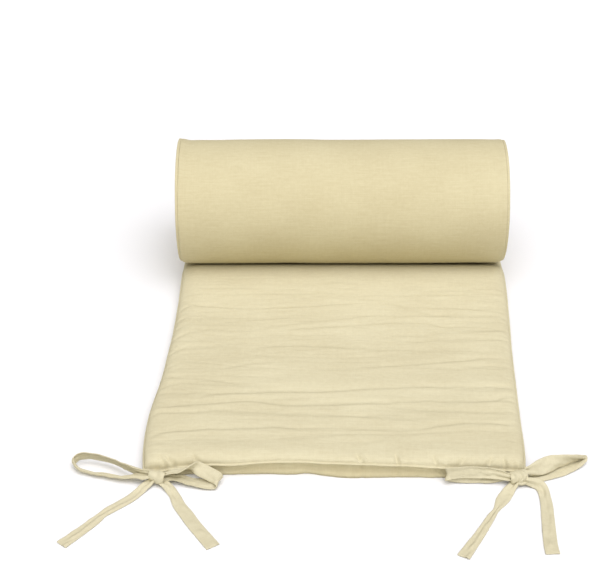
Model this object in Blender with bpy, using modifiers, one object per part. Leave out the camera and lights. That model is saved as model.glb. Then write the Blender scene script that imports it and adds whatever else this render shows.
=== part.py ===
"""A crib bumper: a padded cotton panel, partly rolled up, with a tied ribbon at each front corner.

Metres, +Z up.  The origin is on the underside, in the middle of the flat stretch.
+Y runs along the panel from its open front edge to the roll, and +X to the right.
"""
import math

import bmesh
import bpy
from mathutils import Vector

# The padded panel.
PAD_LENGTH = 1.20            # along the cot, measured through the roll
FLAT_THICKNESS = 0.0180      # where the filling is free
CROWN = 0.0010               # extra fullness in the middle of the width
SEAM_HEIGHT = 0.54           # share of the thickness at which the edge seam runs
EDGE_ROUND = 0.0085          # depth over which the upper face swells from the seam
UNDER_EDGE_ROUND = 0.0020    # the same for the under face, which is drawn tight
EDGE_FULLNESS = 2.4          # superellipse power of that swelling
UNDER_ROLL_BLEND = 0.0010    # softness of the dip where the roll presses on the flat stretch

# The roll: each turn lies one pitch inside the turn before it.
ROLL_RADIUS = 0.0660         # outer radius where the panel leaves the surface
ROLL_PITCH = 0.0120
LAYER_GAP = 0.0006
ROLL_AXIS_Y = 0.151
FLAT_LENGTH = 0.3145         # front seam to the foot of the roll
FRONT_Y = ROLL_AXIS_Y - FLAT_LENGTH
LAYER_THICKNESS = ROLL_PITCH - LAYER_GAP
ROOM_ROUNDS = 4              # steps that settle the height free under the roll

# Mesh steps of the panel.
ROLL_STEPS = 16              # facets in a full turn
FLAT_STEP = 0.0092
EDGE_STEPS = (0.0, 0.06, 0.25, 0.60)   # shares of EDGE_ROUND
INNER_COLUMNS = 8
LEAST_END_STEP = 0.0017      # between the last facet of the roll and the rounded end

# Where the two long edges run: distance along the panel, left x, right x.
SIDE_EDGES = (
    (0.000, -0.1660, 0.1372),
    (0.020, -0.1674, 0.1388),
    (0.060, -0.1668, 0.1402),
    (0.110, -0.1606, 0.1420),
    (0.165, -0.1556, 0.1445),
    (0.220, -0.1528, 0.1478),
    (0.275, -0.1518, 0.1500),
    (0.315, -0.1512, 0.1500),
    (0.420, -0.1530, 0.1490),
    (0.620, -0.1530, 0.1484),
    (0.670, -0.1512, 0.1490),
    (0.800, -0.1520, 0.1480),
    (1.000, -0.1505, 0.1495),
    (1.200, -0.1515, 0.1480),
)

# How far the front seam wanders from a straight line: share of the width, y offset.
FRONT_EDGE = (
    (0.00, -0.0004),
    (0.09, 0.0018),
    (0.25, 0.0022),
    (0.49, 0.0000),
    (0.77, -0.0030),
    (0.92, -0.0031),
    (1.00, -0.0028),
)
FRONT_EDGE_FADE = 0.120      # distance over which the wander dies out

# Main creases of the flat stretch: start x, start y, end x, end y, depth.
CREASES = (
    (-0.140, 0.059, -0.082, 0.051, 0.0008),
    (-0.030, 0.021, 0.066, 0.045, 0.0011),
    (0.066, 0.045, 0.088, 0.024, 0.0009),
    (-0.076, -0.010, -0.003, -0.013, 0.0009),
    (-0.152, -0.039, -0.047, -0.035, 0.0012),
    (0.035, -0.043, 0.139, -0.030, 0.0012),
    (-0.054, -0.079, 0.124, -0.068, 0.0013),
    (-0.157, -0.098, 0.017, -0.084, 0.0013),
    (0.041, -0.088, 0.130, -0.084, 0.0010),
    (-0.130, -0.122, 0.056, -0.128, 0.0012),
    (0.084, -0.118, 0.140, -0.118, 0.0010),
)
CREASE_HALF_WIDTH = 0.0060
CREASE_END_FADE = 0.015

# The ties: one strip sewn on at its middle at each front corner, knotted into a bow.
TIE_THICKNESS = 0.0014
RIBBON_STEPS = 3             # mesh steps between two rows of a strand
KNOT_SMOOTHING = 2

# A strand is a list of places of its middle line.  x and y are from the middle of the knot,
# z is from the surface; lean is how far the strip is turned up from lying flat, in degrees.
STRAND_COLUMNS = ("x", "y", "z", "lean", "width")

LEFT_KNOT = {"x": -0.1546, "y": -0.1718, "z": 0.0068, "size": (0.0170, 0.0120, 0.0125)}
LEFT_STRANDS = {
    "outer_loop": (
        (-0.0040, 0.0030, 0.0095, 80, 0.0065),
        (-0.0129, 0.0038, 0.0100, 75, 0.0090),
        (-0.0215, 0.0078, 0.0090, 70, 0.0110),
        (-0.0391, 0.0201, 0.0070, 70, 0.0110),
        (-0.0545, 0.0250, 0.0060, 72, 0.0108),
        (-0.0610, 0.0250, 0.0058, 78, 0.0106),
        (-0.0655, 0.0226, 0.0055, 92, 0.0104),
        (-0.0666, 0.0182, 0.0052, 112, 0.0104),
        (-0.0630, 0.0138, 0.0046, 132, 0.0108),
        (-0.0542, 0.0103, 0.0042, 147, 0.0110),
        (-0.0378, 0.0054, 0.0040, 147, 0.0110),
        (-0.0215, 0.0002, 0.0050, 135, 0.0100),
        (-0.0136, -0.0004, 0.0060, 120, 0.0085),
        (-0.0045, -0.0015, 0.0070, 105, 0.0065),
    ),
    "inner_loop": (
        (0.0040, 0.0024, 0.0092, 100, 0.0065),
        (0.0105, 0.0036, 0.0114, 114, 0.0085),
        (0.0185, 0.0042, 0.0128, 122, 0.0110),
        (0.0265, 0.0044, 0.0128, 108, 0.0110),
        (0.0325, 0.0032, 0.0116, 62, 0.0110),
        (0.0396, -0.0010, 0.0102, 42, 0.0110),
        (0.0443, -0.0058, 0.0090, 54, 0.0110),
        (0.0472, -0.0080, 0.0082, 70, 0.0110),
        (0.0494, -0.0068, 0.0071, 88, 0.0110),
        (0.0494, -0.0040, 0.0058, 106, 0.0110),
        (0.0462, -0.0020, 0.0046, 130, 0.0110),
        (0.0412, -0.0018, 0.0035, 150, 0.0110),
        (0.0344, -0.0018, 0.0026, 162, 0.0110),
        (0.0265, 0.0002, 0.0024, 165, 0.0110),
        (0.0184, 0.0010, 0.0030, 158, 0.0100),
        (0.0110, -0.0008, 0.0042, 128, 0.0085),
        (0.0040, -0.0022, 0.0055, 85, 0.0065),
    ),
    "outer_tail": (
        (-0.0030, -0.0015, 0.0050, 0, 0.0060),
        (-0.0079, -0.0050, 0.0036, 0, 0.0075),
        (-0.0129, -0.0108, 0.0014, 0, 0.0080),
        (-0.0196, -0.0190, 0.0007, 0, 0.0086),
        (-0.0338, -0.0322, 0.0007, 0, 0.0081),
        (-0.0393, -0.0380, 0.0007, 0, 0.0068),
        (-0.0446, -0.0454, 0.0007, 0, 0.0085),
        (-0.0574, -0.0612, 0.0007, 0, 0.0092),
        (-0.0669, -0.0719, 0.0007, 0, 0.0102),
    ),
    "inner_tail": (
        (0.0020, -0.0015, 0.0050, 0, 0.0060),
        (0.0095, -0.0070, 0.0032, 0, 0.0080),
        (0.0149, -0.0152, 0.0010, 0, 0.0085),
        (0.0195, -0.0270, 0.0007, 0, 0.0100),
        (0.0256, -0.0375, 0.0007, 0, 0.0110),
        (0.0333, -0.0513, 0.0007, 0, 0.0110),
        (0.0480, -0.0742, 0.0007, 0, 0.0115),
    ),
    "root": (
        (-0.0030, 0.0020, 0.0085, 90, 0.0050),
        (-0.0070, 0.0052, 0.0090, 90, 0.0060),
        (-0.0100, 0.0071, 0.0092, 90, 0.0060),
    ),
}

RIGHT_KNOT = {"x": 0.1312, "y": -0.1726, "z": 0.0074, "size": (0.0160, 0.0120, 0.0130)}
RIGHT_STRANDS = {
    "inner_loop": (
        (-0.0040, -0.0022, 0.0085, 115, 0.0065),
        (-0.0100, -0.0022, 0.0093, 120, 0.0085),
        (-0.0160, -0.0016, 0.0098, 123, 0.0105),
        (-0.0260, -0.0008, 0.0100, 123, 0.0110),
        (-0.0360, -0.0006, 0.0101, 123, 0.0110),
        (-0.0460, -0.0008, 0.0103, 122, 0.0110),
        (-0.0530, -0.0016, 0.0102, 118, 0.0110),
        (-0.0562, -0.0008, 0.0096, 100, 0.0108),
        (-0.0564, 0.0012, 0.0084, 82, 0.0106),
        (-0.0540, 0.0024, 0.0068, 70, 0.0102),
        (-0.0485, 0.0025, 0.0054, 66, 0.0096),
        (-0.0400, 0.0024, 0.0048, 66, 0.0092),
        (-0.0300, 0.0022, 0.0046, 68, 0.0090),
        (-0.0180, 0.0020, 0.0048, 72, 0.0085),
        (-0.0100, 0.0018, 0.0056, 76, 0.0075),
        (-0.0040, 0.0016, 0.0064, 78, 0.0060),
    ),
    "outer_loop": (
        (0.0045, 0.0034, 0.0098, 72, 0.0060),
        (0.0105, 0.0064, 0.0104, 64, 0.0085),
        (0.0185, 0.0092, 0.0098, 57, 0.0115),
        (0.0262, 0.0140, 0.0092, 52, 0.0118),
        (0.0350, 0.0184, 0.0083, 48, 0.0108),
        (0.0425, 0.0198, 0.0078, 48, 0.0098),
        (0.0476, 0.0191, 0.0072, 54, 0.0090),
        (0.0512, 0.0188, 0.0065, 68, 0.0084),
        (0.0534, 0.0206, 0.0056, 88, 0.0082),
        (0.0524, 0.0238, 0.0045, 114, 0.0084),
        (0.0466, 0.0240, 0.0030, 146, 0.0092),
        (0.0380, 0.0188, 0.0018, 170, 0.0104),
        (0.0290, 0.0124, 0.0014, 174, 0.0110),
        (0.0200, 0.0058, 0.0018, 172, 0.0100),
        (0.0120, 0.0008, 0.0022, 166, 0.0075),
        (0.0045, -0.0024, 0.0046, 125, 0.0055),
    ),
    "inner_tail": (
        (-0.0020, -0.0015, 0.0045, 0, 0.0060),
        (-0.0063, -0.0062, 0.0030, 0, 0.0080),
        (-0.0101, -0.0118, 0.0012, 0, 0.0100),
        (-0.0148, -0.0200, 0.0007, 0, 0.0105),
        (-0.0208, -0.0315, 0.0007, 0, 0.0050),
        (-0.0253, -0.0394, 0.0007, 0, 0.0064),
        (-0.0357, -0.0587, 0.0007, 0, 0.0080),
        (-0.0508, -0.0845, 0.0007, 0, 0.0105),
    ),
    "outer_tail": (
        (0.0030, -0.0020, 0.0055, 0, 0.0060),
        (0.0093, -0.0030, 0.0040, 0, 0.0070),
        (0.0142, -0.0040, 0.0020, 0, 0.0070),
        (0.0172, -0.0085, 0.0009, 0, 0.0075),
        (0.0186, -0.0165, 0.0007, 0, 0.0085),
        (0.0190, -0.0262, 0.0007, 0, 0.0095),
        (0.0178, -0.0436, 0.0007, 0, 0.0100),
        (0.0163, -0.0695, 0.0007, 0, 0.0108),
        (0.0166, -0.0812, 0.0007, 0, 0.0112),
    ),
    "root": (
        (0.0010, 0.0010, 0.0085, 90, 0.0050),
        (0.0032, 0.0034, 0.0092, 90, 0.0060),
        (0.0050, 0.0054, 0.0096, 90, 0.0060),
    ),
}

PAD_COLOUR = (0.73, 0.66, 0.45, 1.0)
TIE_COLOUR = (0.76, 0.70, 0.49, 1.0)
WELD_DISTANCE = 0.00001


def start_empty():
    """Remove the objects of the scene and give back the two collections."""
    for thing in list(bpy.data.objects):
        bpy.data.objects.remove(thing, do_unlink=True)
    made = []
    for name in ("crib_bumper", "cutters"):
        collection = bpy.data.collections.new(name)
        bpy.context.scene.collection.children.link(collection)
        made.append(collection)
    return made


def cloth_material(name, colour, roughness):
    material = bpy.data.materials.new(name)
    material.use_nodes = True
    shader = material.node_tree.nodes["Principled BSDF"]
    shader.inputs["Base Color"].default_value = colour
    shader.inputs["Roughness"].default_value = roughness
    shader.inputs["Metallic"].default_value = 0.0
    return material


def add_object(name, mesh_builder, collection, material):
    mesh = bpy.data.meshes.new(name)
    mesh_builder.to_mesh(mesh)
    mesh_builder.free()
    thing = bpy.data.objects.new(name, mesh)
    collection.objects.link(thing)
    mesh.materials.append(material)
    mesh.shade_smooth()
    return thing


def smooth_curve(rows, position):
    """Values of a smooth curve through rows, at a position counted in rows."""
    first = min(max(int(position), 0), len(rows) - 2)
    share = position - first
    before, start, end, after = (
        rows[min(max(first + step, 0), len(rows) - 1)] for step in (-1, 0, 1, 2))
    values = []
    for p, q, r, s in zip(before, start, end, after):
        bend = (2 * p - 5 * q + 4 * r - s) + (3 * q - p - 3 * r + s) * share
        values.append(q + 0.5 * share * ((r - p) + share * bend))
    return values


def read_table(rows, place):
    """Values of a table whose first column is the place, read on a smooth curve."""
    first = 0
    while first < len(rows) - 2 and place > rows[first + 1][0]:
        first += 1
    start, end = rows[first], rows[first + 1]
    before = rows[max(first - 1, 0)]
    after = rows[min(first + 2, len(rows) - 1)]
    span = end[0] - start[0]
    share = min(max((place - start[0]) / span, 0.0), 1.0)
    values = []
    for column in range(1, len(start)):
        rise = (end[column] - start[column]) / span
        slope_in = slope_out = rise
        if before is not start:
            slope_in = (end[column] - before[column]) / (end[0] - before[0])
        if after is not end:
            slope_out = (after[column] - start[column]) / (after[0] - start[0])
        back = 1.0 - share
        values.append(
            start[column] * (1 + 2 * share) * back ** 2 + end[column] * (3 - 2 * share) * share ** 2
            + span * (slope_in * share * back ** 2 - slope_out * share ** 2 * back))
    return values


def ease(share):
    share = min(max(share, 0.0), 1.0)
    return share * share * (3 - 2 * share)


def swelling(distance, rounding):
    """Share of the full thickness at a distance from an edge seam."""
    if distance >= rounding:
        return 1.0
    short = 1.0 - distance / rounding
    return (1.0 - short ** EDGE_FULLNESS) ** (1.0 / EDGE_FULLNESS)


def roll_radius(angle):
    return ROLL_RADIUS - ROLL_PITCH * angle / math.tau


def roll_along(angle):
    """Distance along the panel's middle at an angle round the roll."""
    middle = ROLL_RADIUS - ROLL_PITCH / 2
    return FLAT_LENGTH + middle * angle - ROLL_PITCH * angle ** 2 / (2 * math.tau)


def roll_angle(along):
    """The angle round the roll at a distance along the panel, 0 on the flat stretch."""
    if along <= FLAT_LENGTH:
        return 0.0
    middle = ROLL_RADIUS - ROLL_PITCH / 2
    tightening = ROLL_PITCH / math.tau
    return (middle - math.sqrt(middle ** 2 - 2 * tightening * (along - FLAT_LENGTH))) / tightening


def room_under_roll(ahead):
    """Height free under the roll, a distance in front of its axis."""
    inner = roll_radius(math.tau)
    if ahead >= inner:
        return FLAT_THICKNESS + ROLL_RADIUS
    radius = inner
    for _ in range(ROOM_ROUNDS):
        back_angle = math.asin(min(ahead / radius, 1.0))
        radius = roll_radius(math.tau - back_angle)
    return ROLL_RADIUS - radius * math.cos(back_angle) - LAYER_GAP


def free_thickness(along, across):
    """Thickness away from the edges; across runs from 0 at the left to 1 at the right."""
    if along >= FLAT_LENGTH:
        return LAYER_THICKNESS
    full = FLAT_THICKNESS + CROWN * (1 - (2 * across - 1) ** 2)
    room = room_under_roll(FLAT_LENGTH - along)
    shares = math.exp(-full / UNDER_ROLL_BLEND) + math.exp(-room / UNDER_ROLL_BLEND)
    return -UNDER_ROLL_BLEND * math.log(shares)


def crease_depth(x, y):
    """Depth of the creases at a place on the flat stretch."""
    total = 0.0
    for start_x, start_y, end_x, end_y, depth in CREASES:
        run = Vector((end_x - start_x, end_y - start_y))
        reach = Vector((x - start_x, y - start_y))
        along = reach.dot(run) / run.length
        beside = abs(reach.cross(run)) / run.length
        ends = ease(along / CREASE_END_FADE) * ease((run.length - along) / CREASE_END_FADE)
        total += depth * ends * math.exp(-(beside / CREASE_HALF_WIDTH) ** 2)
    return total


def pad_point(along, across, upper):
    """A point of the panel: of its upper face, or else of its under face."""
    left, right = read_table(SIDE_EDGES, along)
    x = left + (right - left) * across
    angle = roll_angle(along)
    if angle > 0.0:
        base = Vector((x, ROLL_AXIS_Y + roll_radius(angle) * math.sin(angle),
                       ROLL_RADIUS - roll_radius(angle) * math.cos(angle)))
        inward = Vector((0.0, -math.sin(angle), math.cos(angle)))
    else:
        wander = read_table(FRONT_EDGE, across)[0] * (1 - ease(along / FRONT_EDGE_FADE))
        base = Vector((x, FRONT_Y + along + wander, 0.0))
        inward = Vector((0.0, 0.0, 1.0))
    full = free_thickness(along, across)
    end_distance = min(along, PAD_LENGTH - along)
    side_distance = min(across, 1 - across) * (right - left)
    rounding = EDGE_ROUND if upper else UNDER_EDGE_ROUND
    swell = swelling(end_distance, rounding) * swelling(side_distance, rounding)
    seam = SEAM_HEIGHT * full
    if upper:
        height = seam + (full - seam) * swell
        if angle == 0.0:
            height -= crease_depth(x, base.y) * swell
    else:
        height = seam * (1 - swell)
    return base + inward * height


def pad_rows():
    """Distances along the panel at which it has a row of points."""
    rows = [share * EDGE_ROUND for share in EDGE_STEPS]
    flat_steps = round((FLAT_LENGTH - EDGE_ROUND) / FLAT_STEP)
    for step in range(flat_steps + 1):
        rows.append(EDGE_ROUND + (FLAT_LENGTH - EDGE_ROUND) * step / flat_steps)
    step_angle = math.tau / ROLL_STEPS
    step = 1
    while roll_along(step * step_angle) < PAD_LENGTH - EDGE_ROUND - LEAST_END_STEP:
        rows.append(roll_along(step * step_angle))
        step += 1
    rows.append(PAD_LENGTH - EDGE_ROUND)
    rows += [PAD_LENGTH - share * EDGE_ROUND for share in reversed(EDGE_STEPS)]
    return rows


def pad_columns():
    """Shares of the width at which the panel has a column of points."""
    width = SIDE_EDGES[0][2] - SIDE_EDGES[0][1]
    edge = EDGE_ROUND / width
    columns = [share * edge for share in EDGE_STEPS]
    for step in range(INNER_COLUMNS + 1):
        columns.append(edge + (1 - 2 * edge) * step / INNER_COLUMNS)
    columns += [1 - share * edge for share in reversed(EDGE_STEPS)]
    return columns


def add_pad(collection, material):
    """The padded panel: an upper and an under face that meet in one seam all round."""
    rows = pad_rows()
    columns = pad_columns()
    body = bmesh.new()
    for upper in (True, False):
        grid = bmesh.ops.create_grid(
            body, x_segments=len(columns) - 1, y_segments=len(rows) - 1, size=0.5)
        for vertex in grid["verts"]:
            column = round((vertex.co.x + 0.5) * (len(columns) - 1))
            row = round((vertex.co.y + 0.5) * (len(rows) - 1))
            vertex.co = pad_point(rows[row], columns[column], upper)
        if not upper:
            faces = list({face for vertex in grid["verts"] for face in vertex.link_faces})
            bmesh.ops.reverse_faces(body, faces=faces)
    bmesh.ops.remove_doubles(body, verts=body.verts, dist=WELD_DISTANCE)
    return add_object("pad", body, collection, material)


def add_ribbon(name, knot, rows, collection, material):
    """One strand of a tie: a strip along its middle line, turned up by its lean."""
    count = (len(rows) - 1) * RIBBON_STEPS + 1
    stations = [smooth_curve(rows, index / RIBBON_STEPS) for index in range(count)]
    strip = bmesh.new()
    grid = bmesh.ops.create_grid(strip, x_segments=1, y_segments=count - 1, size=0.5)
    for vertex in grid["verts"]:
        index = round((vertex.co.y + 0.5) * (count - 1))
        side = 1.0 if vertex.co.x > 0 else -1.0
        here = dict(zip(STRAND_COLUMNS, stations[index]))
        ahead = stations[min(index + 1, count - 1)]
        behind = stations[max(index - 1, 0)]
        travel = Vector(ahead[:3]) - Vector(behind[:3])
        travel.normalize()
        level = Vector((0.0, 0.0, 1.0)).cross(travel).normalized()
        rise = travel.cross(level)
        lean = math.radians(here["lean"])
        across = level * math.cos(lean) + rise * math.sin(lean)
        half = here["width"] / 2
        lowest = half * abs(across.z) + TIE_THICKNESS / 2 * abs(math.cos(lean))
        middle = Vector((knot["x"] + here["x"], knot["y"] + here["y"], max(here["z"], lowest)))
        vertex.co = middle + across * half * side
    ribbon = add_object(name, strip, collection, material)
    ribbon.hide_render = True
    ribbon.display_type = "WIRE"
    wall = ribbon.modifiers.new("cloth", "SOLIDIFY")
    wall.thickness = TIE_THICKNESS
    wall.offset = 0.0
    return ribbon


def add_tie(name, knot, strands, parts, cutters, material):
    """A tied bow: its knot, joined with its loops, its tails and its sewn root."""
    body = bmesh.new()
    bmesh.ops.create_cube(body, size=1.0)
    bmesh.ops.scale(body, vec=knot["size"], verts=body.verts)
    bmesh.ops.translate(body, vec=(knot["x"], knot["y"], knot["z"]), verts=body.verts)
    tie = add_object(name, body, parts, material)
    rounding = tie.modifiers.new("rounding", "SUBSURF")
    rounding.levels = KNOT_SMOOTHING
    rounding.render_levels = KNOT_SMOOTHING
    for strand, rows in strands.items():
        ribbon = add_ribbon(name + "_" + strand, knot, rows, cutters, material)
        union = tie.modifiers.new(strand, "BOOLEAN")
        union.operation = "UNION"
        union.object = ribbon
    return tie


def main():
    parts, cutters = start_empty()
    pad_cotton = cloth_material("pad_cotton", PAD_COLOUR, 0.90)
    tie_cotton = cloth_material("tie_cotton", TIE_COLOUR, 0.88)
    add_pad(parts, pad_cotton)
    add_tie("tie_left", LEFT_KNOT, LEFT_STRANDS, parts, cutters, tie_cotton)
    add_tie("tie_right", RIGHT_KNOT, RIGHT_STRANDS, parts, cutters, tie_cotton)


main()
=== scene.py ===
# Crib bumper: a padded cotton panel, half rolled up, with a ribbon tied in a bow at each front corner.
# Metres, +Z up, +Y from the front edge to the roll, +X to the right.
import math

import bpy
import numpy as np
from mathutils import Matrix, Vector


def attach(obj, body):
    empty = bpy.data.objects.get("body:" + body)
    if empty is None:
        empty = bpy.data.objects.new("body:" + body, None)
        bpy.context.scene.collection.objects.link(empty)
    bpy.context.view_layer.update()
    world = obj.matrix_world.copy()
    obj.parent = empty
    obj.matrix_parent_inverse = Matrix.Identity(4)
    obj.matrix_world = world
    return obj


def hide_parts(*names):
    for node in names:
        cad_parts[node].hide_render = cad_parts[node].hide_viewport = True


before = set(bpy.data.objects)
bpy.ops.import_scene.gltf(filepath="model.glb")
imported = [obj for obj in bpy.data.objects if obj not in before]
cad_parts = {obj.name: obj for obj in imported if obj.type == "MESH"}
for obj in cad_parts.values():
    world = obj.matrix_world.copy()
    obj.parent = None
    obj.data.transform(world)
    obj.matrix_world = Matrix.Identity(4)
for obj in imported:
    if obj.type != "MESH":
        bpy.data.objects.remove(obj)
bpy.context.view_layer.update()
print("frame loaded:", ", ".join(sorted(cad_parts)))

mm = 0.001
mergeWithin = 0.00001            # points nearer than this become one


def makeActive(piece):
    if bpy.context.object and bpy.context.object.mode != "OBJECT":
        bpy.ops.object.mode_set(mode="OBJECT")
    bpy.ops.object.select_all(action="DESELECT")
    if piece:
        piece.select_set(True)
        bpy.context.view_layer.objects.active = piece


def applyModifiers(piece):
    makeActive(piece)
    for modifier in list(piece.modifiers):
        bpy.ops.object.modifier_apply(modifier=modifier.name)


def addGrid(name, columns, rows):
    # a flat grid, with the column and the row of each of its points
    makeActive(None)
    bpy.ops.mesh.primitive_grid_add(x_subdivisions=columns - 1, y_subdivisions=rows - 1, size=1.0)
    piece = bpy.context.object
    piece.name = piece.data.name = name
    places = np.zeros(len(piece.data.vertices) * 3)
    piece.data.vertices.foreach_get("co", places)
    places = places.reshape(-1, 3) + 0.5
    column = np.rint(places[:, 0] * (columns - 1)).astype(int)
    row = np.rint(places[:, 1] * (rows - 1)).astype(int)
    return piece, column, row


def movePoints(piece, points):
    piece.data.vertices.foreach_set("co", np.ascontiguousarray(points, dtype=np.float32).ravel())
    piece.data.update()


def setClothUV(piece, across, along):
    # where each point lies on the flat cut cloth, in metres
    layer = piece.data.uv_layers.active or piece.data.uv_layers.new(name="cloth")
    layer.name = "cloth"
    corners = np.zeros(len(piece.data.loops), dtype=int)
    piece.data.loops.foreach_get("vertex_index", corners)
    places = np.stack([across[corners], along[corners]], axis=1)
    layer.data.foreach_set("uv", places.astype(np.float32).ravel())


def countTriangles(piece):
    return sum(polygon.loop_total - 2 for polygon in piece.data.polygons)


def ease(share):
    share = np.clip(share, 0.0, 1.0)
    return share * share * (3 - 2 * share)


def bump(distance, halfWidth):
    return np.exp(-(distance / halfWidth) ** 2)


def readTable(rows, place):
    # smooth columns of a table whose first column is the place
    table = np.array(rows, float)
    keys = table[:, 0]
    place = np.clip(np.asarray(place, float), keys[0], keys[-1])
    first = np.clip(np.searchsorted(keys, place, side="right") - 1, 0, len(keys) - 2)
    span = keys[first + 1] - keys[first]
    share = (place - keys[first]) / span
    back = 1 - share
    slopes = np.gradient(table[:, 1:], keys, axis=0)
    columns = []
    for column in range(table.shape[1] - 1):
        start, end = table[first, column + 1], table[first + 1, column + 1]
        slopeIn, slopeOut = slopes[first, column], slopes[first + 1, column]
        columns.append(start * (1 + 2 * share) * back ** 2 + end * (3 - 2 * share) * share ** 2
                       + span * (slopeIn * share * back ** 2 - slopeOut * share ** 2 * back))
    return columns


def unevenness(u, v, seed):
    # soft random values from -1 to 1, one swelling to each unit of u and v
    table = np.random.default_rng(seed).uniform(-1, 1, (61, 61))
    column, row = np.floor(u).astype(int), np.floor(v).astype(int)
    du, dv = ease(u - column), ease(v - row)
    low = table[row % 61, column % 61] * (1 - du) + table[row % 61, (column + 1) % 61] * du
    high = table[(row + 1) % 61, column % 61] * (1 - du) + table[(row + 1) % 61, (column + 1) % 61] * du
    return low * (1 - dv) + high * dv


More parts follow.
